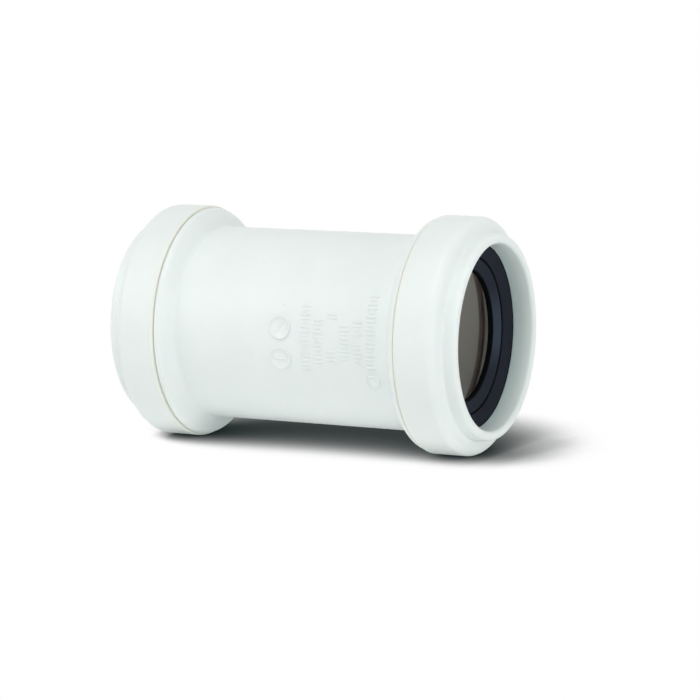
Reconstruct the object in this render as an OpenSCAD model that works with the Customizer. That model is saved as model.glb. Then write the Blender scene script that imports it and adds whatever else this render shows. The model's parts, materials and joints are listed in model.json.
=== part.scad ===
// Straight push-fit coupling for plastic waste pipe, lying on its side.
// The pipe axis runs along X through the origin, and the origin is the middle of the coupling.
// Radii are stacked outwards from the pipe, and places along the axis outwards from the middle.

/* [Pipe] */
// Outside diameter of the pipe that the coupling joins
pipe_od = 41; // [36:0.5:46]
// Space between the pipe and the bore, on the radius
pipe_gap = 0.25; // [0.15:0.05:0.45]
// Space between the pipe and the wider mouth of a cap, on the radius
mouth_gap = 0.6; // [0.4:0.05:0.8]

/* [Body] */
// Distance from the middle of the coupling to each seam between body and cap
seam_distance = 30.1; // [26:0.1:36]
// Wall of the barrel
barrel_wall = 1.6; // [1.5:0.1:2]
// Length of the pipe stop along the axis
stop_length = 2.5; // [1.5:0.5:5]
// Height of the pipe stop above the bore
stop_height = 1.6; // [1:0.1:2.4]
// Radius of the outer round on the shoulder
shoulder_round = 1.6; // [0.8:0.1:2.4]
// Radius of the fillet where the shoulder meets the barrel
shoulder_fillet = 1.2; // [0.6:0.1:1.6]
// Steepness of the shoulder, in degrees from the axis
shoulder_angle = 62; // [54:1:75]
// How far the rim of the shoulder lies below the cap
rim_step = 0.5; // [0.2:0.05:0.6]
// Length of the spigot that the cap goes over
spigot_length = 6.5; // [6.2:0.1:7.4]
// Wall of the spigot
spigot_wall = 1.7; // [1.4:0.1:2.2]
// Depth of the seat for the seal, from the end of the spigot
seat_depth = 3.6; // [3.2:0.1:4.6]
// Step from the bore out to the wall of the seat
seat_step = 2.25; // [2:0.05:2.6]
// Distance from the floor of the seat to the lead-in at the end of the bore
lead_in_depth = 1.9; // [1:0.1:2.4]
// Radius of the rounded lead-in at the end of the bore
lead_in_round = 0.75; // [0.4:0.05:1.2]

/* [Cap] */
// Length of a cap from the seam to the mouth
cap_length = 13.65; // [12.6:0.05:16]
// Wall of the cap round the spigot
cap_wall = 2.1; // [1.6:0.1:2.6]
// Space between cap and spigot, on the radius
cap_gap = 0.3; // [0.25:0.05:0.5]
// Width of the seam between cap and body
seam_gap = 0.2; // [0.15:0.05:0.4]
// Bevel along the seam's edges
seam_bevel = 0.25; // [0.1:0.05:0.4]
// Bevel in the corner inside the cap
cap_chamfer = 1; // [0.8:0.1:1.2]
// Distance from the mouth to the face inside the cap that holds the seal
mouth_depth = 5.15; // [4.8:0.05:5.5]
// Wall of the lip round the mouth
lip_wall = 2.25; // [2:0.05:2.8]
// Length of the straight part of the lip
lip_length = 2.8; // [2:0.05:3.1]
// Radius of the outer round on the cap
cap_round = 2.1; // [1.2:0.1:2.6]
// Radius of the fillet where the cap meets the lip
cap_fillet = 0.4; // [0.3:0.1:0.8]
// Steepness of the cap's front, in degrees from the axis
cap_angle = 77; // [68:1:82]
// Radius of the outer round on the lip
lip_round = 0.9; // [0.3:0.05:1]
// Radius of the inner round on the lip, where the pipe enters
mouth_round = 0.7; // [0.3:0.05:0.9]

/* [Seal] */
// Space between the seal and what holds it
seal_gap = 0.1; // [0.05:0.05:0.2]
// Space between the seal's sleeve and the line of the bore
sleeve_relief = 0.2; // [0.1:0.05:0.5]
// Diameter of the hole in the lip of the relaxed seal
lip_hole = 30; // [28:0.5:33]
// Thickness of the seal's lip along the axis
lip_thick = 1.3; // [1:0.1:1.6]
// How far the lip leans into the socket
lip_lean = 2.5; // [2:0.1:3]
// Width of the groove round the lip
groove_width = 0.5; // [0.3:0.05:0.7]
// Depth of the groove round the lip
groove_depth = 0.5; // [0.2:0.05:0.7]

/* [Hidden] */
// Steps in a rounded corner of a profile
round_steps = 6;
// Radii, from the pipe outwards
bore_r = pipe_od / 2 + pipe_gap;
stop_r = bore_r - stop_height;
barrel_r = bore_r + barrel_wall;
seat_r = bore_r + seat_step;
spigot_r = seat_r + spigot_wall;
skirt_r = spigot_r + cap_gap;
cap_r = skirt_r + cap_wall;
rim_r = cap_r - rim_step;
mouth_r = pipe_od / 2 + mouth_gap;
mouth_lip_r = mouth_r + lip_wall;
sleeve_r = bore_r + sleeve_relief;
seal_lip_r = lip_hole / 2;
groove_r = (bore_r + seal_lip_r) / 2;
// Places along the axis, from the middle outwards
half_length = seam_distance + cap_length;
cap_start = seam_distance + seam_gap;
spigot_end = seam_distance + spigot_length;
seat_floor = spigot_end - seat_depth;
lead_in_end = seat_floor - lead_in_depth;
bore_end = lead_in_end - lead_in_round;
cap_face = half_length - mouth_depth;
seal_front = cap_face - seal_gap;
seal_tip = seal_front - lip_lean;
// Bevel inside the cap, within the room in front of the spigot, and the seal's rim clear of it
inner_bevel = min(cap_chamfer, cap_face - spigot_end);
seal_rim_r = skirt_r - inner_bevel - seal_gap;

// Points of an arc in the radius and axis plane, from one angle to another
function arc(r, x, size, from, to) = [
    for (i = [0 : round_steps])
        let (a = from + (to - from) * i / round_steps)
            [r + size * sin(a), x + size * cos(a)]
];

// Length along the axis of a step between two radii: a round, a slope and a fillet
function step_length(rise, round, fillet, angle) =
    (round + fillet) * sin(angle)
    + (rise - (round + fillet) * (1 - cos(angle))) / tan(angle);

// Step down from the high radius at x_high, with the round first and the fillet last
function step_down(high, low, x_high, round, fillet, angle) =
    let (x_low = x_high + step_length(high - low, round, fillet, angle))
        concat(
            arc(high - round, x_high, round, 90, 90 - angle),
            arc(low + fillet, x_low, fillet, 270 - angle, 270)
        );

// The same points on the other side of the middle, in reverse order
function mirrored(points) = [
    for (i = [len(points) - 1 : -1 : 0])
        [points[i][0], -points[i][1]]
];

// A profile of radius and place on the axis, turned round the pipe axis
module turned(points) {
    rotate([0, 90, 0])
        rotate_extrude()
            polygon(points);
}

// Barrel with a shoulder, a spigot and a seat for a seal at both ends, and a stop in the middle
module coupling_body() {
    shoulder_start = seam_distance - seam_bevel;
    shoulder = step_down(
        rim_r, barrel_r, -shoulder_start, shoulder_round, shoulder_fillet, shoulder_angle
    );
    bore = [
        [stop_r, stop_length / 2],
        [bore_r, stop_length / 2]
    ];
    lead_in_r = bore_r + lead_in_round;
    lead_in = arc(lead_in_r, bore_end, lead_in_round, 270, 360);
    seat = [
        [lead_in_r, seat_floor],
        [seat_r, seat_floor],
        [seat_r, spigot_end]
    ];
    outside = [
        [spigot_r, spigot_end],
        [spigot_r, seam_distance],
        [rim_r - seam_bevel, seam_distance]
    ];
    right_half = concat(bore, lead_in, seat, outside, [for (p = shoulder) [p[0], -p[1]]]);
    color("whitesmoke")
        turned(concat(right_half, mirrored(right_half)));
}

// Cap with a skirt over the spigot, a face that holds the seal and a lip round the mouth
module cap() {
    front_length = step_length(cap_r - mouth_lip_r, cap_round, cap_fillet, cap_angle);
    front_start = half_length - lip_length - front_length;
    skirt_edge = [
        [skirt_r, cap_start],
        [cap_r - seam_bevel, cap_start],
        [cap_r, cap_start + seam_bevel]
    ];
    lip_edge = concat(
        arc(mouth_lip_r - lip_round, half_length - lip_round, lip_round, 90, 0),
        arc(mouth_r + mouth_round, half_length - mouth_round, mouth_round, 0, -90)
    );
    inside = [
        [mouth_r, cap_face],
        [skirt_r - inner_bevel, cap_face],
        [skirt_r, cap_face - inner_bevel]
    ];
    color("white")
        turned(concat(
            skirt_edge,
            step_down(cap_r, mouth_lip_r, front_start, cap_round, cap_fillet, cap_angle),
            lip_edge,
            inside
        ));
}

// Rubber ring with a rim under the cap, a sleeve in the seat and a lip that bends for the pipe
module seal() {
    lean_per_mm = lip_lean / (bore_r - seal_lip_r);
    groove_x = seal_front - (bore_r - groove_r) * lean_per_mm;
    half_groove = groove_width / 2;
    groove = [
        [groove_r + half_groove, groove_x + half_groove * lean_per_mm],
        [groove_r, groove_x - groove_depth],
        [groove_r - half_groove, groove_x - half_groove * lean_per_mm]
    ];
    color("#26282c")
        turned(concat(
            [
                [sleeve_r, seat_floor + seal_gap],
                [seat_r - seal_gap, seat_floor + seal_gap],
                [seat_r - seal_gap, spigot_end + seal_gap],
                [seal_rim_r, spigot_end + seal_gap],
                [seal_rim_r, seal_front],
                [bore_r, seal_front]
            ],
            groove,
            [
                [seal_lip_r, seal_tip],
                [seal_lip_r, seal_tip - lip_thick],
                [sleeve_r, seal_front - lip_thick]
            ]
        ));
}

module right_cap() {
    cap();
}

module left_cap() {
    mirror([1, 0, 0])
        cap();
}

module right_seal() {
    seal();
}

module left_seal() {
    mirror([1, 0, 0])
        seal();
}

coupling_body();
left_cap();
right_cap();
left_seal();
right_seal();
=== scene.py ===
"""Looks of a straight push-fit pipe coupling: white mouldings, black lip seals and a white studio."""

import json
import math

import bpy
import numpy as np
from bpy.props import FloatProperty, FloatVectorProperty, PointerProperty
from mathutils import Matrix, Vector


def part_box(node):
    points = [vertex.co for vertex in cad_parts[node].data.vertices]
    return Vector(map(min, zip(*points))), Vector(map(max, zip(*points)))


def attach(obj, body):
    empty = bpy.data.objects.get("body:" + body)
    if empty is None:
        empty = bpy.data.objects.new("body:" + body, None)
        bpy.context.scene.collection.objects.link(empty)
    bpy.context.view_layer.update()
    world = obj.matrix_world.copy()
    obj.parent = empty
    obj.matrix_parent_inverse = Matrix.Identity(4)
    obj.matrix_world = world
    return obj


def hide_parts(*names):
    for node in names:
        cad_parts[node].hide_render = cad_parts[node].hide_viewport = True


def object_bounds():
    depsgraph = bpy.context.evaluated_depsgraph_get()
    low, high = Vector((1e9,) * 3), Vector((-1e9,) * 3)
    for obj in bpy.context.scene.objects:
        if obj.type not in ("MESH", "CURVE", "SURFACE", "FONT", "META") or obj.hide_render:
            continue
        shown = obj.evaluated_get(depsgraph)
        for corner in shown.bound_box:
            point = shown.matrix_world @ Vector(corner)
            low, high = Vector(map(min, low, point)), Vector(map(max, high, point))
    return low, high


bl_info = {
    "name": "Push-fit coupling",
    "version": (1, 0, 0),
    "blender": (4, 5, 0),
    "location": "View3D > Sidebar > Coupling",
    "description": "Moulded surfaces, finishes and studio for a straight push-fit pipe coupling",
    "category": "Object",
}

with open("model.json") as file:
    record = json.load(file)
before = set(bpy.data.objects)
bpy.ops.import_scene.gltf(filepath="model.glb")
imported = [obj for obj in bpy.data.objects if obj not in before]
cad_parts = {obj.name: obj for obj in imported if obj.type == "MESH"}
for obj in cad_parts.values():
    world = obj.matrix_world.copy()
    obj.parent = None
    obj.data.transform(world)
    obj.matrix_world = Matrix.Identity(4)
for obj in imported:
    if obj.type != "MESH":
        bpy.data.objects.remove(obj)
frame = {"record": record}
CAD_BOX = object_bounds()

MM = 0.001
WHITE_SLOT = "white_polypropylene"
RUBBER_SLOT = "black_rubber"

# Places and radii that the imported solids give, in metres
_, BODY_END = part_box("coupling_body")
CAP_START, CAP_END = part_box("right_cap")
SEAL_START, SEAL_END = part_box("right_seal")
MOUTH = next(m for m in frame["record"]["mounts"] if m["name"] == "right_pipe_mouth")
MOUTH_RADIUS = MOUTH["dims"]["r_mm"] * MM
# Step from the bore of the body out to the wider mouth of a cap
MOUTH_STEP = 0.35 * MM
BORE_RADIUS = MOUTH_RADIUS - MOUTH_STEP
FLOOR_HEIGHT = CAD_BOX[0].z
# Longest side of a facet along a turned outline
BODY_FACET = 1.2 * MM
CAP_FACET = 0.6 * MM
SEAL_FACET = 0.5 * MM


def length(name, description, millimetres):
    """A length property, with its default given in millimetres."""
    return FloatProperty(
        name=name, description=description, default=millimetres * MM, min=0, unit="LENGTH", precision=5
    )


def angle(name, description, degrees):
    """An angle property, with its default given in degrees."""
    return FloatProperty(
        name=name, description=description, default=math.radians(degrees), subtype="ANGLE"
    )


def share(name, description, default):
    """A property between nothing and all."""
    return FloatProperty(
        name=name, description=description, default=default, min=0, max=1, subtype="FACTOR"
    )


def colour(name, description, red, green, blue):
    """A colour property."""
    hue = (red, green, blue)
    return FloatVectorProperty(
        name=name, description=description, default=hue, min=0, max=1, size=3, subtype="COLOR"
    )


def power(name, description, watts):
    """A power property."""
    return FloatProperty(name=name, description=description, default=watts, min=0, unit="POWER")


def number(name, description, default):
    """A plain number property."""
    return FloatProperty(name=name, description=description, default=default)


class BodySizes(bpy.types.PropertyGroup):
    """Sizes of the barrel, its shoulders and the inside of the sockets."""

    barrel_wall: length("Barrel wall", "Wall of the barrel", 1.6)
    stop_length: length("Stop length", "Length of the pipe stop along the axis", 2.5)
    stop_height: length("Stop height", "Height of the pipe stop above the bore", 1.6)
    stop_round: length("Stop round", "Round on the edges of the pipe stop", 0.4)
    seam_gap: length("Seam gap", "Width of the seam between body and cap", 0.2)
    seam_depth: length("Seam depth", "Depth of the open seam, down to the ledge that the cap meets", 0.25)
    ledge_gap: length("Ledge gap", "From the ledge to the cap", 0.03)
    rim_round: length("Rim round", "Round on the rim of the shoulder, along the seam", 0.25)
    shoulder_angle: angle("Shoulder angle", "Steepness of the shoulder from the axis", 62)
    shoulder_round: length("Shoulder round", "Outer round on the shoulder", 1.6)
    shoulder_fillet: length("Shoulder fillet", "Fillet where the shoulder meets the barrel", 1.2)
    spigot_wall: length("Spigot wall", "Wall of the spigot that the cap goes over", 1.7)
    seat_depth: length("Seat depth", "Depth of the seal's seat from the end of the spigot", 3.6)
    seat_step: length("Seat step", "Step from the bore out to the wall of the seat", 2.25)
    lead_in_depth: length("Lead-in depth", "From the floor of the seat to the lead-in of the bore", 1.9)
    lead_in_round: length("Lead-in round", "Radius of the rounded lead-in at the end of the bore", 0.75)
    edge_round: length("Edge round", "Round on the small moulded edges", 0.2)
    fine_round: length("Fine round", "Round in the sharp inner corners", 0.04)


class CapSizes(bpy.types.PropertyGroup):
    """Sizes of a cap and of the lip round its mouth."""

    wall: length("Wall", "Wall of the cap round the spigot", 2.1)
    edge_round: length("Edge round", "Round on the edge along the seam", 0.45)
    front_angle: angle("Front angle", "Steepness of the cap's front from the axis", 77)
    front_round: length("Front round", "Outer round on the cap", 2.1)
    front_fillet: length("Front fillet", "Fillet where the cap meets the lip", 0.4)
    lip_wall: length("Lip wall", "Wall of the lip round the mouth", 2.25)
    lip_length: length("Lip length", "Length of the straight part of the lip", 2.8)
    lip_round: length("Lip round", "Outer round on the lip", 0.9)
    mouth_round: length("Mouth round", "Inner round on the lip, where the pipe enters", 0.9)
    mouth_draft: length("Mouth draft", "How far the mouth draws in towards the seal", 0.15)
    flare: length("Flare", "How much the mouth opens towards its edge", 0.35)
    flare_length: length("Flare length", "Length of the flared part of the mouth", 2)
    flare_round: length("Flare round", "Radius of the curve into the flare", 12)
    mouth_depth: length("Mouth depth", "From the mouth to the face that holds the seal", 5.15)
    chamfer: length("Chamfer", "Bevel in the corner inside the cap", 1)
    inner_round: length("Inner round", "Round in the corners inside the cap", 0.2)


class SealSizes(bpy.types.PropertyGroup):
    """Sizes of a rubber seal."""

    sleeve_relief: length("Sleeve relief", "From the line of the bore to the seal's sleeve", 0.2)
    sleeve_gap: length("Sleeve gap", "From the wall of the seat to the seal's sleeve", 0.1)
    rim_thickness: length("Rim thickness", "Thickness of the rim that the cap holds", 1.8)
    lip_radius: length("Lip radius", "Radius of the hole in the lip", 15)
    lip_thickness: length("Lip thickness", "Thickness of the lip along the axis", 1.3)
    lip_lean: length("Lip lean", "How far the lip leans into the socket", 2.5)
    lip_round: length("Lip round", "Round on the lip's free edge", 0.2)
    groove_width: length("Groove width", "Width of the groove round the lip", 0.5)
    groove_depth: length("Groove depth", "Depth of the groove round the lip", 0.5)
    edge_round: length("Edge round", "Round on the seal's edges", 0.12)


class MarkSizes(bpy.types.PropertyGroup):
    """Sizes of the plain moulded marks on the barrel."""

    height: length("Height", "Height of a tick above the barrel", 0.15)
    root: length("Root", "How deep a mark is rooted in the wall", 0.3)
    dial_radius: length("Dial radius", "Radius of a round moulded dial", 2.7)
    dial_height: length("Dial height", "Height of a dial's rim above the barrel", 0.34)
    dial_rim: length("Dial rim", "Width of a dial's raised rim", 0.4)
    dial_gap: length("Dial gap", "From the middle of one dial to the middle of the other", 7.1)
    dial_drop: length("Dial drop", "How far the pair of dials lies below the front of the barrel", 1.15)
    ring_radius: length("Ring radius", "Radius of the small dial at the end of the last row", 1.65)
    row_pitch: length("Row pitch", "From one row of ticks to the next", 3.25)
    first_row: length("First row", "From the middle of the coupling to the first row", 6.4)
    tick_pitch: length("Tick pitch", "From one tick to the next", 0.95)
    tick_width: length("Tick width", "Width of a tick", 0.36)
    long_tick: length("Long tick", "Length of a long tick", 2.5)
    short_tick: length("Short tick", "Length of a short tick", 1.5)


class Finish(bpy.types.PropertyGroup):
    """Colours, painted shades, strengths and gloss of the mouldings and the rubber."""

    white: colour("White", "Colour of the white moulding", 0.842, 0.901, 0.881)
    white_shade: colour("White, deeper", "Second tone of the white moulding", 0.824, 0.885, 0.865)
    edge_cream: colour("Edge cream", "Tint of the thin edges along the seams", 0.85, 0.868, 0.755)
    cream_strength: share("Cream strength", "Strength of the tint along the seams", 0.45)
    # A darker tan line along the middle of the seam, in its gap
    seam_line: colour("Seam line", "Tint of the dust in the seams", 0.78, 0.785, 0.70)
    seam_line_strength: share("Dust strength", "Strength of the dust in the seams", 0.6)
    # Painted shade deep in the mouth: cooler and darker than the white, lighter again towards the mouth's
    # edge
    mouth_painted_shade: colour("Mouth tint", "Cool tint of the moulding deep in the mouth", 0.73, 0.87, 0.845)
    mouth_shade_edge: share("Mouth edge", "Share of the cool tint that is left at the edge of the mouth", 0.3)
    # Painted shade: a warm grey over the inside of the bore
    bore_painted_shade: colour("Bore tint", "Warm tint of the moulding inside the bore", 0.74, 0.73, 0.69)
    # Painted shadow: a dark brown ring on the bore's rounded lead-in, where a shadow line falls
    lead_in_painted_shadow: colour("Lead-in tint", "Dark tint of the bore's rounded lead-in", 0.29, 0.23, 0.21)
    speck: colour("Speck", "Colour of the specks in the moulding", 0.30, 0.28, 0.24)
    speck_strength: share("Speck strength", "Strength of the specks in the moulding", 0.3)
    white_roughness: share("White roughness", "Roughness of the white moulding", 0.38)
    white_gloss: share("White gloss", "Specular level of the white moulding", 0.3)
    white_scatter: share("White scatter", "Share of the light that scatters inside the moulding", 0.2)
    scatter_tint: colour("Scatter tint", "How far each colour scatters, in scatter depths", 1, 0.85, 0.6)
    scatter_depth: length("Scatter depth", "How far light scatters inside the moulding", 1.2)
    rubber: colour("Rubber", "Colour of the rubber", 0.0195, 0.0225, 0.032)
    # Part bloom and part painted sheen: a paler bluish tone on the lip, full at its sides and fading
    # towards its top and bottom
    rubber_bloom_and_sheen: colour("Rubber bloom", "Paler tone of the bloom on the lip", 0.041, 0.055, 0.077)
    sheen_top_share: share("Bloom at the top", "Share of the bloom that is left at the lip's top and bottom", 0.1)
    # Painted shade: near black on the lip's free edge, deep in the socket, and in the groove round the lip
    rubber_painted_shade: colour("Rubber edge", "Dark tone of the lip's free edge", 0.003, 0.004, 0.005)
    rubber_dust: colour("Rubber dust", "Colour of the dust on the rubber", 0.2, 0.2, 0.2)
    rubber_dust_strength: share("Rubber dust strength", "Strength of the dust on the rubber", 0.35)
    rubber_roughness: share("Rubber roughness", "Roughness of the rubber", 0.75)
    rubber_gloss: share("Rubber gloss", "Specular level of the rubber", 0.05)


class TintSizes(bpy.types.PropertyGroup):
    """How far the tints and painted shades of the mouldings and the rubber go: full in the core, and gone
    at the reach.
    """

    skin_reach: length("Skin reach", "Depth below the shoulder's rim at which the seam's tints end", 1.2)
    skin_core: length("Skin core", "Depth below the shoulder's rim to which the seam's tints are full", 0.5)
    cream_reach: length("Cream reach", "From the cap's edge to where its cream tint ends", 1.4)
    cream_core: length("Cream core", "From the cap's edge to where its cream tint is full", 0.2)
    cream_start: length("Cream start", "From the seam back to where the cream tint starts", 0.1)
    # Reach of the darker tan line along the seam
    seam_line_reach: length("Dust reach", "From the middle of the seam to where its dust ends", 0.25)
    seam_line_core: length("Dust core", "From the middle of the seam to where its dust is full", 0.1)
    # Reaches of the painted shades inside the mouth and the bore, which end this far out from the bore
    inside_reach: length("Inside reach", "From the bore out to where the inner tints end", 1.6)
    inside_core: length("Inside core", "From the bore out to where the inner tints are full", 0.9)
    # Reach of the painted shade deep in the mouth
    mouth_shade_reach: length("Mouth reach", "From the face on the seal to where the cool tint is least", 4)
    mouth_shade_core: length("Mouth core", "From the face on the seal to where the cool tint is full", 0.3)
    # Reach of the painted shade in the bore
    bore_shade_reach: length("Bore reach", "From the end of the body to where the warm tint ends", 1.5)
    # Reach of the painted shadow on the lead-in
    lead_in_shadow_reach: length("Lead-in reach", "From the middle of the lead-in to where its tint ends", 0.8)
    lead_in_shadow_core: length("Lead-in core", "From the middle of the lead-in to where its tint is full", 0.35)
    # Reaches of the bloom and painted sheen on the lip
    bloom_and_sheen_blend: length("Bloom blend", "How far each side of the groove the bloom fades", 0.4)
    sheen_reach: length("Bloom reach", "Height above or below the axis at which the bloom is least", 11)
    sheen_core: length("Bloom core", "Height above or below the axis to which the bloom is full", 2.5)
    # Reaches of the painted shade on the lip's free edge and in its groove
    edge_shade_reach: length("Free edge reach", "From the lip's hole to where its dark edge ends", 0.4)
    edge_shade_core: length("Free edge core", "From the lip's hole to where its dark edge is full", 0.15)
    groove_shade_spill: length("Groove spill", "How far the dark of the groove spills past it", 0.05)
    line_pitch: length("Line pitch", "From one turned line on the rubber to the next", 0.35)


class Studio(bpy.types.PropertyGroup):
    """Camera, lamps and floor."""

    azimuth: angle("Azimuth", "Camera's turn to the right of the coupling's front", 26.62)
    elevation: angle("Elevation", "Camera's height above the horizon", 6.88)
    distance: length("Distance", "From the camera to the middle of the coupling", 677.2)
    lens: number("Lens", "Focal length in millimetres", 150.48)
    shift_x: number("Shift across", "Shift of the frame, in widths", 0.0376)
    shift_y: number("Shift up", "Shift of the frame, in widths", -0.0326)
    sky: number("Sky", "Strength of the even light all round", 0.415)
    glow: number("Floor glow", "Strength of the light from the floor", 0.205)
    left_lamp: power("Left lamp", "Power of the soft box on the left", 1.38)
    top_lamp: power("Top lamp", "Power of the soft box above", 2.93)
    right_lamp: power("Right lamp", "Power of the soft box on the right", 2.4)
    back_lamp: power("Back lamp", "Power of the soft box behind", 1.6)
    lamp_distance: length("Lamp distance", "From a soft box to the middle of the coupling", 900)
    lamp_width: length("Lamp width", "Width and height of a soft box", 450)
    floor: colour("Floor", "Colour of the floor", 0.85, 0.85, 0.85)
    shadow: colour("Shadow", "Colour of the darkest contact shadow", 0, 0.009, 0.009)
    front_lean: angle("Front lean", "Height of the front light that the contact shadow lies away from", 8)
    front_reach: length("Front reach", "How far the coupling shades the floor from the front", 60)
    front_depth: number("Front depth", "Depth of the shade from the front", 6.25)
    side_turn: angle("Side turn", "Turn of the side light that the contact shadow lies away from", -110)
    side_lean: angle("Side lean", "Height of the side light that the contact shadow lies away from", 10)
    side_reach: length("Side reach", "How far the coupling shades the floor from the side", 60)
    side_depth: number("Side depth", "Depth of the shade from the side", 2.5)
    shade_limit: length("Shade limit", "From the middle of the coupling to where no shade reaches", 200)
    floor_gain: number("Floor gain", "How soon the contact shadow passes to white", 4.6)
    floor_ease: number("Floor ease", "How softly the contact shadow passes to white", 0.55)


def rounded_outline(corners, steps=8):
    """Closed outline through corners of (place on the axis, radius, round), with an arc at each corner.

    With u and v the unit vectors to the corners before and after, and h half the angle between them, the
    arc's centre is round / sin(h) along u + v, its start is round / tan(h) along u, and a point on it is
    centre + (start - centre) cos(a) - u round sin(a), for a from 0 to 180 degrees - 2 h.
    """
    corners = np.array(corners, float)
    point = corners[:, :2]
    size = corners[:, 2:]
    before = np.roll(point, 1, axis=0) - point
    after = np.roll(point, -1, axis=0) - point
    before /= np.linalg.norm(before, axis=1, keepdims=True)
    after /= np.linalg.norm(after, axis=1, keepdims=True)
    half = np.arccos((before * after).sum(axis=1, keepdims=True)) / 2
    inward = before + after
    inward /= np.linalg.norm(inward, axis=1, keepdims=True)
    centre = point + inward * size / np.sin(half)
    start = point + before * size / np.tan(half)
    turn = (np.pi - 2 * half)[:, None] * np.linspace(0, 1, steps + 1)[None, :, None]
    arcs = (
        centre[:, None]
        + (start - centre)[:, None] * np.cos(turn)
        - before[:, None] * size[:, None] * np.sin(turn)
    )
    return arcs.reshape(-1, 2)


def split_evenly(outline, longest):
    """The same closed outline with no side longer than that: each side is cut into equal parts."""
    ahead = np.roll(outline, -1, axis=0) - outline
    parts = np.maximum(1, np.ceil(np.linalg.norm(ahead, axis=1) / longest)).astype(int)
    side = np.repeat(np.arange(len(outline)), parts)
    first = np.repeat(np.cumsum(parts) - parts, parts)
    along = (np.arange(parts.sum()) - first) / parts[side]
    return outline[side] + ahead[side] * along[:, None]


def mirrored(outline):
    """The same outline on the other side of the middle, in reverse, so that faces still point outwards."""
    return outline[::-1] * (-1, 1)


def turned_surface(outline, spokes=256):
    """A closed outline of (place on the axis, radius) carried round the axis.

    The point at outline step i and turn t is (x_i, r_i cos t, r_i sin t). Both ways round are closed.
    """
    turn = np.linspace(0, 2 * np.pi, spokes, endpoint=False)
    place = np.broadcast_to(outline[:, :1], (len(outline), spokes))
    radius = outline[:, 1:]
    points = np.stack([place, radius * np.cos(turn), radius * np.sin(turn)], axis=-1)
    corner = np.arange(len(outline) * spokes).reshape(len(outline), spokes)
    next_row = np.roll(corner, -1, axis=0)
    next_spoke = np.roll(corner, -1, axis=1)
    faces = np.stack([corner, next_row, np.roll(next_row, -1, axis=1), next_spoke], axis=-1)
    return points.reshape(-1, 3), faces.reshape(-1, 4)


def make_piece(name, points, faces, material, body, slot, *nodes):
    """Make a smooth mesh piece from arrays of points and faces, riding on a body in place of CAD nodes."""
    mesh = bpy.data.meshes.new(name)
    mesh.vertices.add(len(points))
    mesh.vertices.foreach_set("co", points.ravel())
    mesh.loops.add(faces.size)
    mesh.loops.foreach_set("vertex_index", faces.ravel())
    mesh.polygons.add(len(faces))
    mesh.polygons.foreach_set("loop_start", np.arange(0, faces.size, faces.shape[1]))
    mesh.polygons.foreach_set("use_smooth", np.ones(len(faces), bool))
    mesh.update(calc_edges=True)
    if mesh.validate():
        raise RuntimeError(f"{name} had faces that aren't sound")
    mesh.materials.append(material)
    piece = bpy.data.objects.new(name, mesh)
    bpy.context.scene.collection.objects.link(piece)
    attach(piece, body)
    if nodes:
        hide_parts(*nodes)


def body_outline(size):
    """Outline of the body: stop, bore, lead-in, seal seat, spigot, seam face and shoulder, at both ends."""
    stop_end = size.stop_length / 2
    seam = CAP_START.x - size.seam_gap
    seat_radius = BORE_RADIUS + size.seat_step
    spigot_radius = seat_radius + size.spigot_wall
    barrel_radius = BORE_RADIUS + size.barrel_wall
    seat_floor = BODY_END.x - size.seat_depth
    lead_in = seat_floor - size.lead_in_depth
    rim_radius = BODY_END.z
    ledge = CAP_START.x - size.ledge_gap
    ledge_radius = rim_radius - size.seam_depth
    shoulder_top = seam - size.rim_round - size.shoulder_round * math.tan(size.shoulder_angle / 2)
    shoulder_foot = shoulder_top - (rim_radius - barrel_radius) / math.tan(size.shoulder_angle)
    edge, fine = size.edge_round, size.fine_round
    # The lead-in's arc leaves room for the fine round at its end, and half of that straight between them
    lead_in_arc = size.lead_in_round - 1.5 * fine
    right = [
        (stop_end, BORE_RADIUS - size.stop_height, size.stop_round),
        (stop_end, BORE_RADIUS, size.stop_round),
        (lead_in, BORE_RADIUS, lead_in_arc),
        (lead_in, BORE_RADIUS + size.lead_in_round, fine),
        (seat_floor, BORE_RADIUS + size.lead_in_round, edge),
        (seat_floor, seat_radius, edge),
        (BODY_END.x, seat_radius, edge),
        (BODY_END.x, spigot_radius, edge),
        (ledge, spigot_radius, edge),
        (ledge, ledge_radius, fine),
        (seam, ledge_radius, fine),
        (seam, rim_radius, size.rim_round),
        (shoulder_top, rim_radius, size.shoulder_round),
        (shoulder_foot, barrel_radius, size.shoulder_fillet),
    ]
    left = [(-place, radius, size_of_round) for place, radius, size_of_round in reversed(right)]
    return rounded_outline(right + left)


def cap_outline(size):
    """Outline of the right-hand cap: skirt, front, lip, mouth and the face that holds the seal."""
    skirt_radius = CAP_END.z - size.wall
    lip_radius = MOUTH_RADIUS + size.lip_wall
    throat_radius = MOUTH_RADIUS - size.mouth_draft
    face = CAP_END.x - size.mouth_depth
    rise = CAP_END.z - lip_radius
    front_foot = CAP_END.x - size.lip_length - size.front_fillet * math.tan(size.front_angle / 2)
    front_top = front_foot - rise / math.tan(size.front_angle)
    inner = size.inner_round
    return rounded_outline(
        [
            (CAP_START.x, CAP_END.z, size.edge_round),
            (CAP_START.x, skirt_radius, inner),
            (face - size.chamfer, skirt_radius, inner),
            (face, skirt_radius - size.chamfer, inner),
            (face, throat_radius, inner),
            (CAP_END.x - size.flare_length, throat_radius, size.flare_round),
            (CAP_END.x, throat_radius + size.flare, size.mouth_round),
            (CAP_END.x, lip_radius, size.lip_round),
            (front_foot, lip_radius, size.front_fillet),
            (front_top, CAP_END.z, size.front_round),
        ]
    )


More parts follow.
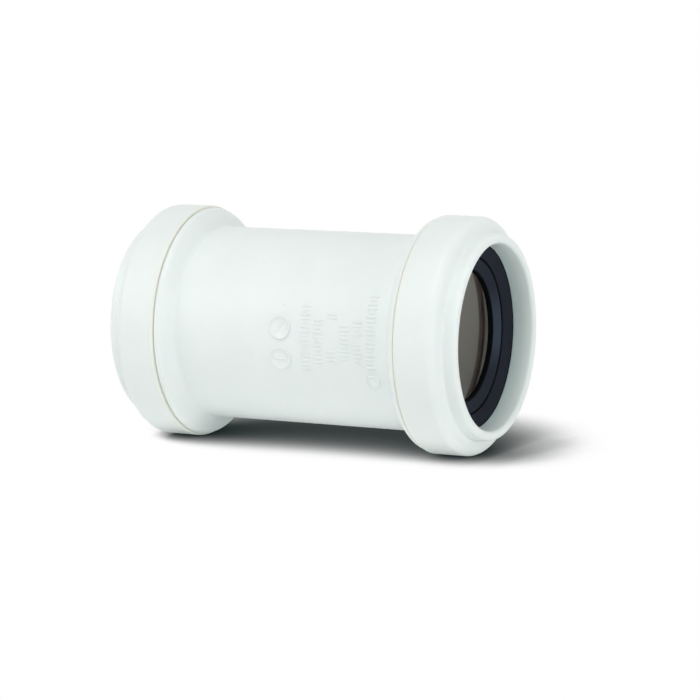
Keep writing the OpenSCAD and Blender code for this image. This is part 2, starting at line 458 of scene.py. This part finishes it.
def seal_outline(size, seat_radius):
    """Outline of the right-hand seal: sleeve in the seat, rim under the cap, leaning lip with a groove."""
    sleeve_radius = BORE_RADIUS + size.sleeve_relief
    front, back = SEAL_END.x, SEAL_START.x
    lean = size.lip_lean / (BORE_RADIUS - size.lip_radius)
    groove_radius = (BORE_RADIUS + size.lip_radius) / 2
    groove_place = front - (BORE_RADIUS - groove_radius) * lean
    half_groove = size.groove_width / 2
    tip = front - size.lip_lean
    edge = size.edge_round
    return rounded_outline(
        [
            (back, seat_radius - size.sleeve_gap, edge),
            (back, sleeve_radius, edge),
            (front - size.lip_thickness, sleeve_radius, edge),
            (tip - size.lip_thickness, size.lip_radius, size.lip_round),
            (tip, size.lip_radius, size.lip_round),
            (groove_place - half_groove * lean, groove_radius - half_groove, edge),
            (groove_place - size.groove_depth, groove_radius, edge / 2),
            (groove_place + half_groove * lean, groove_radius + half_groove, edge),
            (front, BORE_RADIUS, edge),
            (front, SEAL_END.z, edge),
            (front - size.rim_thickness, SEAL_END.z, edge),
            (front - size.rim_thickness, seat_radius - size.sleeve_gap, edge),
        ]
    )


def add_node(tree, kind, inputs=None, **settings):
    """A new node with its settings, and each named input set to a value or linked to a socket."""
    made = tree.nodes.new(kind)
    for name, value in settings.items():
        setattr(made, name, value)
    for name, value in (inputs or {}).items():
        if isinstance(value, bpy.types.NodeSocket):
            tree.links.new(value, made.inputs[name])
        else:
            made.inputs[name].default_value = value
    return made


def math_node(tree, operation, first, second=0.0):
    """The result socket of a math node."""
    return add_node(tree, "ShaderNodeMath", {0: first, 1: second}, operation=operation).outputs[0]


def fade(tree, value, start, end, low=0.0, high=1.0):
    """A smooth passage from low to high as the value goes from start to end."""
    inputs = {"Value": value, "From Min": start, "From Max": end, "To Min": low, "To Max": high}
    return add_node(tree, "ShaderNodeMapRange", inputs, interpolation_type="SMOOTHSTEP").outputs["Result"]


def near(tree, value, middle, reach, core, low=0.0, high=1.0):
    """A smooth passage from low to high as the value's distance from the middle goes from reach to core."""
    apart = math_node(tree, "ABSOLUTE", math_node(tree, "SUBTRACT", value, middle))
    return fade(tree, apart, reach, core, low, high)


# Sockets of a mix node that hold colours, past those for its other kinds of data
MIX_COLOURS = (6, 7)
MIX_RESULT = 2


def mix_colour(tree, factor, first, second):
    """The result socket of a mix of two colours, each given as a socket or as red, green and blue."""
    inputs = {"Factor": factor}
    for socket, hue in zip(MIX_COLOURS, (first, second)):
        inputs[socket] = hue if isinstance(hue, bpy.types.NodeSocket) else (*hue, 1)
    return add_node(tree, "ShaderNodeMix", inputs, data_type="RGBA").outputs[MIX_RESULT]


def tint(tree, tone, hue, *shares):
    """The tone, passing into the hue by the product of the shares."""
    factor, *others = shares
    for other in others:
        factor = math_node(tree, "MULTIPLY", factor, other)
    return mix_colour(tree, factor, tone, hue)


def mix_shader(tree, factor, first, second):
    """The result socket of a mix of two shaders."""
    return add_node(tree, "ShaderNodeMixShader", {0: factor, 1: first, 2: second}).outputs[0]


def noise(tree, place, scale, detail=2.0):
    """The factor socket of a noise of that many features a metre."""
    inputs = {"Vector": place, "Scale": scale, "Detail": detail}
    return add_node(tree, "ShaderNodeTexNoise", inputs).outputs["Fac"]


def specks(tree, place, scale, reach, core, strength):
    """Soft dots in cells of that many a metre: full in the core of a cell, and gone at the reach."""
    cells = add_node(tree, "ShaderNodeTexVoronoi", {"Vector": place, "Scale": scale})
    return fade(tree, cells.outputs["Distance"], reach, core, 0, strength)


# Values that most of a noise lies between
NOISE_LOW, NOISE_HIGH = 0.3, 0.7
# Height of the fine bump on both finishes, and shares in it of the moulding's ripple and the rubber's lines
GRAIN_HEIGHT = 0.02 * MM
RIPPLE_SHARE = 3
LINE_SHARE = 0.25


def uneven(tree, place, roughness, smoother, rougher, scale, detail):
    """A roughness that wanders from that much smoother to that much rougher."""
    patches = noise(tree, place, scale, detail)
    return fade(tree, patches, NOISE_LOW, NOISE_HIGH, roughness - smoother, roughness + rougher)


def fine_bump(tree, height, strength):
    """The normal socket of a fine bump."""
    inputs = {"Height": height, "Strength": strength, "Distance": GRAIN_HEIGHT}
    return add_node(tree, "ShaderNodeBump", inputs).outputs["Normal"]


def new_material(name):
    """An empty node material, its tree and its output node."""
    material = bpy.data.materials.new(name)
    material.use_nodes = True
    material.node_tree.nodes.clear()
    return material, material.node_tree, add_node(material.node_tree, "ShaderNodeOutputMaterial")


def axis_sockets(tree):
    """Sockets for the place on the piece, the distance from the middle along the axis, and the radius."""
    place = add_node(tree, "ShaderNodeTexCoord").outputs["Object"]
    parts = add_node(tree, "ShaderNodeSeparateXYZ", {"Vector": place})
    across = add_node(tree, "ShaderNodeCombineXYZ", {"Y": parts.outputs["Y"], "Z": parts.outputs["Z"]})
    reach = add_node(tree, "ShaderNodeVectorMath", {0: across.outputs[0]}, operation="LENGTH")
    return place, math_node(tree, "ABSOLUTE", parts.outputs["X"]), reach.outputs["Value"]


def seam_tints(tree, tone, along, radius, scene):
    """The tone with cream on the cap's thin edge along the seam, and a darker tan line along the middle of
    the seam.
    """
    finish, tints, body = scene.coupling_finish, scene.coupling_tints, scene.coupling_body
    seam = CAP_START.x - body.seam_gap
    skin = fade(tree, radius, BODY_END.z - tints.skin_reach, BODY_END.z - tints.skin_core)
    cream_end, cream_full = CAP_START.x + tints.cream_reach, CAP_START.x + tints.cream_core
    cream = fade(tree, along, cream_end, cream_full, 0, finish.cream_strength)
    past_seam = fade(tree, along, seam - tints.cream_start, seam)
    tone = tint(tree, tone, finish.edge_cream, cream, past_seam, skin)
    middle = seam + body.seam_gap / 2
    # A darker tan line along the middle of the seam
    dust = near(tree, along, middle, tints.seam_line_reach, tints.seam_line_core, 0, finish.seam_line_strength)
    return tint(tree, tone, finish.seam_line, dust, skin)


def inner_painted_shades(tree, tone, along, radius, scene):
    """The tone with painted shade: cool and darker deep in the mouth, warm grey in the bore and dark on its
    lead-in.
    """
    finish, tints, body = scene.coupling_finish, scene.coupling_tints, scene.coupling_body
    inside = fade(tree, radius, BORE_RADIUS + tints.inside_reach, BORE_RADIUS + tints.inside_core)
    face = CAP_END.x - scene.coupling_cap.mouth_depth
    # Painted shade: cool and darker deep in the mouth, lighter towards its edge
    mouth_shaded = fade(tree, along, face + tints.mouth_shade_reach, face + tints.mouth_shade_core, finish.mouth_shade_edge, 1)
    tone = tint(tree, tone, finish.mouth_painted_shade, inside, mouth_shaded)
    # Painted shade: warm grey inside the bore
    bore_shaded = fade(tree, along, BODY_END.x + tints.bore_shade_reach, BODY_END.x)
    tone = tint(tree, tone, finish.bore_painted_shade, inside, bore_shaded)
    # Painted shadow: a dark ring on the bore's rounded lead-in
    lead_in = BODY_END.x - body.seat_depth - body.lead_in_depth - body.lead_in_round / 2
    on_lead_in_shadow = near(tree, along, lead_in, tints.lead_in_shadow_reach, tints.lead_in_shadow_core)
    return tint(tree, tone, finish.lead_in_painted_shadow, inside, on_lead_in_shadow)


def white_moulding(name, scene, scatter):
    """Satin white plastic: two close tones, a cream edge and a darker tan line along the seams, painted
    shade inside, few specks and a faint mould grain.
    """
    finish = scene.coupling_finish
    material, tree, output = new_material(name)
    place, along, radius = axis_sockets(tree)
    clouds = fade(tree, noise(tree, place, scale=55, detail=3), start=0.35, end=0.65)
    tone = mix_colour(tree, clouds, finish.white, finish.white_shade)
    tone = seam_tints(tree, tone, along, radius, scene)
    tone = inner_painted_shades(tree, tone, along, radius, scene)
    dots = specks(tree, place, scale=120, reach=0.034, core=0.015, strength=finish.speck_strength)
    tone = tint(tree, tone, finish.speck, dots)
    ripple = math_node(tree, "MULTIPLY", noise(tree, place, scale=120), RIPPLE_SHARE)
    height = math_node(tree, "ADD", ripple, noise(tree, place, scale=1500))
    rough = uneven(tree, place, finish.white_roughness, smoother=0.05, rougher=0.06, scale=260, detail=4)
    inputs = {
        "Base Color": tone,
        "Roughness": rough,
        "Normal": fine_bump(tree, height, strength=0.12),
        "IOR": 1.49,
        "Specular IOR Level": finish.white_gloss,
        "Subsurface Weight": scatter,
        "Subsurface Radius": tuple(finish.scatter_tint),
        "Subsurface Scale": finish.scatter_depth,
    }
    shader = add_node(tree, "ShaderNodeBsdfPrincipled", inputs)
    tree.links.new(shader.outputs[0], output.inputs["Surface"])
    return material


def black_rubber(name, scene):
    """Dull black rubber: bloom and painted sheen on the lip's sides, painted shade on its free edge and
    groove, turned lines, dust.
    """
    finish, tints, seal = scene.coupling_finish, scene.coupling_tints, scene.coupling_seal
    material, tree, output = new_material(name)
    place, _, radius = axis_sockets(tree)
    groove = (BORE_RADIUS + seal.lip_radius) / 2
    on_lip = fade(tree, radius, groove + tints.bloom_and_sheen_blend, groove - tints.bloom_and_sheen_blend)
    patches = fade(tree, noise(tree, place, scale=90, detail=4), start=0.2, end=0.6, low=0.6)
    up = add_node(tree, "ShaderNodeSeparateXYZ", {"Vector": place}).outputs["Z"]
    # Painted sheen: the paler tone is full at the lip's sides and less at its top and bottom
    painted_sheen_at_sides = near(tree, up, 0, tints.sheen_reach, tints.sheen_core, finish.sheen_top_share, 1)
    tone = tint(tree, finish.rubber, finish.rubber_bloom_and_sheen, on_lip, patches, painted_sheen_at_sides)
    # Painted shade on the lip's free edge and in the groove
    free_edge_shade = fade(tree, radius, seal.lip_radius + tints.edge_shade_reach, seal.lip_radius + tints.edge_shade_core)
    groove_shade_reach, groove_shade_core = seal.groove_width / 2 + tints.groove_shade_spill, seal.groove_width / 4
    groove_shade = near(tree, radius, groove, groove_shade_reach, groove_shade_core)
    tone = tint(tree, tone, finish.rubber_painted_shade, math_node(tree, "MAXIMUM", free_edge_shade, groove_shade))
    dots = specks(tree, place, scale=420, reach=0.06, core=0.03, strength=finish.rubber_dust_strength)
    tone = tint(tree, tone, finish.rubber_dust, dots)
    turns = math_node(tree, "MULTIPLY", radius, 2 * math.pi / tints.line_pitch)
    lines = math_node(tree, "MULTIPLY", math_node(tree, "SINE", turns), LINE_SHARE)
    height = math_node(tree, "ADD", lines, noise(tree, place, scale=2200))
    rough = uneven(tree, place, finish.rubber_roughness, smoother=0.07, rougher=0.1, scale=300, detail=3)
    inputs = {
        "Base Color": tone,
        "Roughness": rough,
        "Normal": fine_bump(tree, height, strength=0.2),
        "Specular IOR Level": finish.rubber_gloss,
    }
    shader = add_node(tree, "ShaderNodeBsdfPrincipled", inputs)
    tree.links.new(shader.outputs[0], output.inputs["Surface"])
    return material


def shared_material(name, make, *arguments):
    """The material of that name, made the first time that it is asked for."""
    return bpy.data.materials.get(name) or make(name, *arguments)


def white_of(scene):
    """The white of the body and the caps, with light scattered inside it."""
    return shared_material("white_moulding", white_moulding, scene, scene.coupling_finish.white_scatter)


class MakeBody(bpy.types.Operator):
    """Turn the body: barrel, shoulders, spigots, seal seats and pipe stop."""

    bl_idname = "coupling.make_body"
    bl_label = "Make body"

    def execute(self, context):
        scene = context.scene
        outline = split_evenly(body_outline(scene.coupling_body), BODY_FACET)
        points, faces = turned_surface(outline)
        make_piece("body_moulding", points, faces, white_of(scene), "body", WHITE_SLOT, "coupling_body")
        return {"FINISHED"}


class MakeCaps(bpy.types.Operator):
    """Turn both caps, one the mirror image of the other."""

    bl_idname = "coupling.make_caps"
    bl_label = "Make caps"

    def execute(self, context):
        scene = context.scene
        right = split_evenly(cap_outline(scene.coupling_cap), CAP_FACET)
        for name, outline in (("right_cap", right), ("left_cap", mirrored(right))):
            points, faces = turned_surface(outline)
            make_piece(f"{name}_moulding", points, faces, white_of(scene), name, WHITE_SLOT, name)
        return {"FINISHED"}


class MakeSeals(bpy.types.Operator):
    """Turn both rubber seals, one the mirror image of the other."""

    bl_idname = "coupling.make_seals"
    bl_label = "Make seals"

    def execute(self, context):
        scene = context.scene
        seat_radius = BORE_RADIUS + scene.coupling_body.seat_step
        rubber = shared_material("seal_rubber", black_rubber, scene)
        right = split_evenly(seal_outline(scene.coupling_seal, seat_radius), SEAL_FACET)
        for name, outline in (("right_seal", right), ("left_seal", mirrored(right))):
            points, faces = turned_surface(outline)
            make_piece(f"{name}_rubber", points, faces, rubber, name, RUBBER_SLOT, name)
        return {"FINISHED"}


def mounds(centre, half, tilt, rows, spokes, squareness):
    """Like closed mounds on a flat sheet: points and triangles.

    The ring of a row (share, height) is centre + turn(tilt) (half * share * (c, s)), with c and s the
    cosine and sine of the angle round the mound, each raised to the power squareness in size. A pole
    closes each end.
    """
    rows = np.array(rows, float)
    count, rings = len(centre), len(rows)
    turn = np.linspace(0, 2 * np.pi, spokes, endpoint=False)
    rim = np.stack([np.cos(turn), np.sin(turn)], axis=-1)
    rim = np.sign(rim) * np.abs(rim) ** squareness
    flat = half[:, None, None] * rows[None, :, None, :1] * rim
    across, up = np.cos(tilt)[:, None, None], np.sin(tilt)[:, None, None]
    turned = np.stack(
        [flat[..., 0] * across - flat[..., 1] * up, flat[..., 0] * up + flat[..., 1] * across], axis=-1
    )
    sheet = centre[:, None, None] + turned
    height = np.broadcast_to(rows[None, :, None, 1:], (count, rings, spokes, 1))
    ring_points = np.concatenate([sheet, height], axis=-1).reshape(count, -1, 3)
    poles = [
        np.concatenate([centre, np.full((count, 1), level)], axis=1)[:, None] for level in rows[[0, -1], 1]
    ]
    points = np.concatenate([poles[0], ring_points, poles[1]], axis=1)

    ring = 1 + np.arange(rings * spokes).reshape(rings, spokes)
    ahead = np.roll(ring, -1, axis=1)
    low, low_ahead, high, high_ahead = ring[:-1], ahead[:-1], ring[1:], ahead[1:]
    faces = np.concatenate(
        [
            np.stack([np.zeros_like(ring[0]), ahead[0], ring[0]], axis=-1),
            np.stack([low, low_ahead, high_ahead], axis=-1).reshape(-1, 3),
            np.stack([low, high_ahead, high], axis=-1).reshape(-1, 3),
            np.stack([np.full_like(ring[0], rings * spokes + 1), ring[-1], ahead[-1]], axis=-1),
        ]
    )
    offset = np.arange(count)[:, None, None] * points.shape[1]
    return points.reshape(-1, 3), (faces + offset).reshape(-1, 3)


def bent_round(sheet, radius):
    """Wrap points of a flat sheet (along the axis, up, out) round the front of a cylinder.

    The point goes to the turn up / radius above the front, and to the radius plus out.
    """
    along, up, out = sheet.T
    turn = up / radius
    return np.stack([along, -(radius + out) * np.cos(turn), (radius + out) * np.sin(turn)], axis=-1)


# Runs of plain ticks on the barrel: row, top and bottom of the run up and down the barrel, in millimetres
TICK_RUNS = (
    (0, 7.5, -8.5),
    (1, 4.5, -6.5),
    (2, 6.0, 4.5),
    (2, -2.5, -6.0),
    (3, 3.5, -4.5),
    (4, 4.5, 1.5),
    (4, -0.5, -5.5),
    (5, 10.5, -7.0),
)
# Row of the small dial, and its place up the barrel in millimetres
RING_PLACE = (5, -9.1)
# Rows up a tick and up a hand: share of its half size, and share of its height
TICK_ROWS = ((1, 0), (0.9, 0.8), (0.7, 1))
HAND_ROWS = ((1, 0), (1, 0.8), (0.8, 1))
# Points round a tick or a hand, and the power that squares its corners, where 1 leaves an ellipse
BAR_SPOKES = 12
BAR_SQUARENESS = 0.45
# Points round a dial
DIAL_SPOKES = 48
# Shares of a dial's height, for its straight outer wall and its sunk face
DIAL_WALL = 0.7
DIAL_FACE = 0.65
# Shares of a dial's radius, for the slopes on its rim and the innermost ring of its face
DIAL_SLOPE = 0.03
DIAL_HUB = 0.3
# Half length of a hand as a share of the dial's radius, and the tilt of each hand in degrees
HAND_SHARE = 0.55
HAND_TILTS = (50, 0)


def tick_mounds(size):
    """All ticks: each run has a tick every pitch, and the middle one of every three ticks is short."""
    runs = [(row, np.arange(top * MM, bottom * MM, -size.tick_pitch)) for row, top, bottom in TICK_RUNS]
    up = np.concatenate([ups for _, ups in runs])
    row = np.repeat([row for row, _ in runs], [len(ups) for _, ups in runs])
    centre = np.stack([size.first_row + row * size.row_pitch, up], axis=-1)
    short = np.arange(len(up)) % 3 == 1
    across = np.where(short, size.short_tick, size.long_tick)
    half = np.stack([across, np.full(len(up), size.tick_width)], axis=-1) / 2
    rows = [(1, -size.root), *((part, level * size.height) for part, level in TICK_ROWS)]
    return mounds(centre, half, np.zeros(len(up)), rows, BAR_SPOKES, BAR_SQUARENESS)


def dial_middles(size):
    """Middles of the two large dials, one above the other."""
    half_gap = size.dial_gap / 2
    return [(0, half_gap - size.dial_drop), (0, -half_gap - size.dial_drop)]


def dial_mounds(size):
    """Two dials one above the other in the middle, and a small one at the end of the last row."""
    row, up = RING_PLACE
    centre = np.array([*dial_middles(size), (size.first_row + row * size.row_pitch, up * MM)])
    half = np.array([size.dial_radius, size.dial_radius, size.ring_radius])[:, None] * np.ones(2)
    rim = 1 - size.dial_rim / size.dial_radius
    top = size.dial_height
    face = top * DIAL_FACE
    rows = [
        (1, -size.root),
        (1, top * DIAL_WALL),
        (1 - DIAL_SLOPE, top),
        (rim + DIAL_SLOPE, top),
        (rim, face),
        (DIAL_HUB, face),
    ]
    return mounds(centre, half, np.zeros(len(centre)), rows, DIAL_SPOKES, 1)


def hand_mounds(size):
    """A plain bar across each large dial."""
    centre = np.array(dial_middles(size))
    half = np.array([(size.dial_radius * HAND_SHARE, size.tick_width / 2)] * len(centre))
    rows = [(part, level * size.dial_height) for part, level in HAND_ROWS]
    return mounds(centre, half, np.radians(HAND_TILTS), rows, BAR_SPOKES, BAR_SQUARENESS)


MARKS = {"tick_marks": tick_mounds, "dial_marks": dial_mounds, "dial_hands": hand_mounds}


class MakeMarks(bpy.types.Operator):
    """Raise the plain moulded marks on the front of the barrel: dials and rows of ticks."""

    bl_idname = "coupling.make_marks"
    bl_label = "Make marks"

    def execute(self, context):
        scene = context.scene
        barrel_radius = BORE_RADIUS + scene.coupling_body.barrel_wall
        # No light scatters in the low marks, where it would wash out their edges
        white = shared_material("white_marks", white_moulding, scene, 0)
        for name, make in MARKS.items():
            sheet, faces = make(scene.coupling_marks)
            points = bent_round(sheet, barrel_radius)
            make_piece(name, points, faces, white, "body", WHITE_SLOT)
        return {"FINISHED"}


# Soft boxes: side, turn to the right of the front and height in degrees, and whether it shows in a shine
SOFT_BOXES = (
    ("left", -45, 30, True),
    ("top", 10, 60, True),
    ("right", 80, 5, True),
    ("back", 190, 4, False),
)
# From the middle of the floor to its edges, in metres
FLOOR_REACH = 3.0
# Rays that look for the coupling from a point of the floor
SHADE_RAYS = 64
# Nearest and farthest that the camera sees, in metres
CAMERA_RANGE = (0.05, 20)
WHITE = (1, 1, 1, 1)


def from_angles(azimuth, elevation, distance):
    """The point that far off, at that turn to the right of the front and that height above the horizon."""
    return distance * Vector(
        (
            math.sin(azimuth) * math.cos(elevation),
            -math.cos(azimuth) * math.cos(elevation),
            math.sin(elevation),
        )
    )


def place_facing_middle(made, point):
    """Put an object at a point, facing the middle of the coupling."""
    made.location = point
    made.rotation_euler = (-point).to_track_quat("-Z", "Y").to_euler()
    bpy.context.scene.collection.objects.link(made)


def soft_box(side, azimuth, elevation, shows, studio):
    """A square lamp on that side that faces the coupling. Angles are in degrees."""
    name = f"{side}_soft_box"
    lamp = bpy.data.lights.new(name, "AREA")
    lamp.shape = "SQUARE"
    lamp.size = studio.lamp_width
    lamp.energy = getattr(studio, f"{side}_lamp")
    made = bpy.data.objects.new(name, lamp)
    made.visible_glossy = shows
    point = from_angles(math.radians(azimuth), math.radians(elevation), studio.lamp_distance)
    place_facing_middle(made, point)


def seen_directly(tree):
    """1 for rays from the camera, in a reflection or through glass, and 0 for rays of light."""
    path = add_node(tree, "ShaderNodeLightPath")
    seen = math_node(tree, "MAXIMUM", path.outputs["Is Camera Ray"], path.outputs["Is Glossy Ray"])
    return math_node(tree, "MAXIMUM", seen, path.outputs["Is Transmission Ray"])


def emission(tree, hue, strength=1.0):
    """The shader socket of a surface that gives off light of that colour."""
    return add_node(tree, "ShaderNodeEmission", {"Color": hue, "Strength": strength}).outputs[0]


def open_share(tree, azimuth, elevation, reach, depth):
    """How open the floor is towards that side, as far as that reach, raised to the power of the depth."""
    lean = from_angles(azimuth, elevation, 1)
    towards = add_node(tree, "ShaderNodeCombineXYZ", {"X": lean.x, "Y": lean.y, "Z": lean.z})
    inputs = {"Distance": reach, "Normal": towards.outputs[0]}
    found = add_node(tree, "ShaderNodeAmbientOcclusion", inputs, samples=SHADE_RAYS)
    return math_node(tree, "POWER", found.outputs["AO"], depth)


def contact_shadow(tree, studio):
    """The floor's colour by the coupling: dark where it is closed in front or beside, eased into white."""
    front = open_share(tree, 0, studio.front_lean, studio.front_reach, studio.front_depth)
    side = open_share(tree, studio.side_turn, studio.side_lean, studio.side_reach, studio.side_depth)
    lit = math_node(tree, "MULTIPLY", math_node(tree, "MULTIPLY", front, side), studio.floor_gain)
    inputs = {0: lit, 1: 1, 2: studio.floor_ease}
    eased = add_node(tree, "ShaderNodeMath", inputs, operation="SMOOTH_MIN")
    return mix_colour(tree, eased.outputs[0], studio.shadow, WHITE[:3])


def white_floor(studio):
    """Pale floor that shows as the background's white, but for the coupling's shadow on it."""
    material, tree, output = new_material("white_floor")
    place = add_node(tree, "ShaderNodeTexCoord").outputs["Object"]
    apart = add_node(tree, "ShaderNodeVectorMath", {0: place}, operation="LENGTH").outputs["Value"]
    in_reach = math_node(tree, "LESS_THAN", apart, studio.shade_limit)
    shadow = emission(tree, contact_shadow(tree, studio))
    shown = mix_shader(tree, in_reach, emission(tree, WHITE), shadow)
    pale = add_node(tree, "ShaderNodeBsdfDiffuse", {"Color": (*studio.floor, 1)}).outputs[0]
    glow = emission(tree, WHITE, studio.glow)
    plain = add_node(tree, "ShaderNodeAddShader", {0: pale, 1: glow}).outputs[0]
    surface = mix_shader(tree, seen_directly(tree), plain, shown)
    tree.links.new(surface, output.inputs["Surface"])
    return material


def white_world(studio):
    """Even light all round, behind a background that shows as white."""
    world = bpy.data.worlds.new("white_world")
    world.use_nodes = True
    tree = world.node_tree
    tree.nodes.clear()
    output = add_node(tree, "ShaderNodeOutputWorld")
    light = add_node(tree, "ShaderNodeBackground", {"Color": WHITE, "Strength": studio.sky}).outputs[0]
    white = add_node(tree, "ShaderNodeBackground", {"Color": WHITE, "Strength": 1}).outputs[0]
    surface = mix_shader(tree, seen_directly(tree), light, white)
    tree.links.new(surface, output.inputs["Surface"])
    return world


def make_floor(studio):
    """A square floor that the coupling lies on, as part of the stage."""
    corners = np.array([(-1, -1, 0), (1, -1, 0), (1, 1, 0), (-1, 1, 0)]) * FLOOR_REACH
    mesh = bpy.data.meshes.new("floor")
    mesh.from_pydata((corners + (0, 0, FLOOR_HEIGHT)).tolist(), [], [(0, 1, 2, 3)])
    mesh.materials.append(white_floor(studio))
    floor = bpy.data.objects.new("floor", mesh)
    bpy.context.scene.collection.objects.link(floor)


def make_camera(studio):
    """The camera that sees the coupling as in the photograph."""
    view = bpy.data.cameras.new("camera")
    view.lens = studio.lens
    view.shift_x, view.shift_y = studio.shift_x, studio.shift_y
    view.clip_start, view.clip_end = CAMERA_RANGE
    camera = bpy.data.objects.new("camera", view)
    place_facing_middle(camera, from_angles(studio.azimuth, studio.elevation, studio.distance))
    return camera


class MakeStudio(bpy.types.Operator):
    """Set the floor, the even light, the soft boxes and the camera."""

    bl_idname = "coupling.make_studio"
    bl_label = "Make studio"

    def execute(self, context):
        scene = context.scene
        studio = scene.coupling_studio
        make_floor(studio)
        scene.world = white_world(studio)
        for side, turn, height, shows in SOFT_BOXES:
            soft_box(side, turn, height, shows, studio)
        scene.camera = make_camera(studio)
        scene.view_settings.view_transform = "Standard"
        return {"FINISHED"}


GROUPS = {
    "coupling_body": BodySizes,
    "coupling_cap": CapSizes,
    "coupling_seal": SealSizes,
    "coupling_marks": MarkSizes,
    "coupling_finish": Finish,
    "coupling_tints": TintSizes,
    "coupling_studio": Studio,
}
OPERATORS = (MakeBody, MakeCaps, MakeSeals, MakeMarks, MakeStudio)


class CouplingPanel(bpy.types.Panel):
    """Buttons and sizes of the coupling."""

    bl_idname = "VIEW3D_PT_coupling"
    bl_label = "Coupling"
    bl_space_type = "VIEW_3D"
    bl_region_type = "UI"
    bl_category = "Coupling"

    def draw(self, context):
        for operator in OPERATORS:
            self.layout.operator(operator.bl_idname)
        for name, group in GROUPS.items():
            box = self.layout.box()
            box.label(text=name.replace("_", " "))
            for size in group.__annotations__:
                box.prop(getattr(context.scene, name), size)


def register():
    """Register the classes, and give the scene each group of sizes."""
    for group in GROUPS.values():
        bpy.utils.register_class(group)
    for name, group in GROUPS.items():
        setattr(bpy.types.Scene, name, PointerProperty(type=group))
    for made in (*OPERATORS, CouplingPanel):
        bpy.utils.register_class(made)


def unregister():
    """Take back what register did, in reverse."""
    for made in (CouplingPanel, *reversed(OPERATORS)):
        bpy.utils.unregister_class(made)
    for name in GROUPS:
        delattr(bpy.types.Scene, name)
    for group in reversed(GROUPS.values()):
        bpy.utils.unregister_class(group)


def main():
    """Register the add-on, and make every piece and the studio."""
    register()
    bpy.ops.coupling.make_body()
    bpy.ops.coupling.make_caps()
    bpy.ops.coupling.make_seals()
    bpy.ops.coupling.make_marks()
    bpy.ops.coupling.make_studio()


if __name__ == "__main__":
    main()
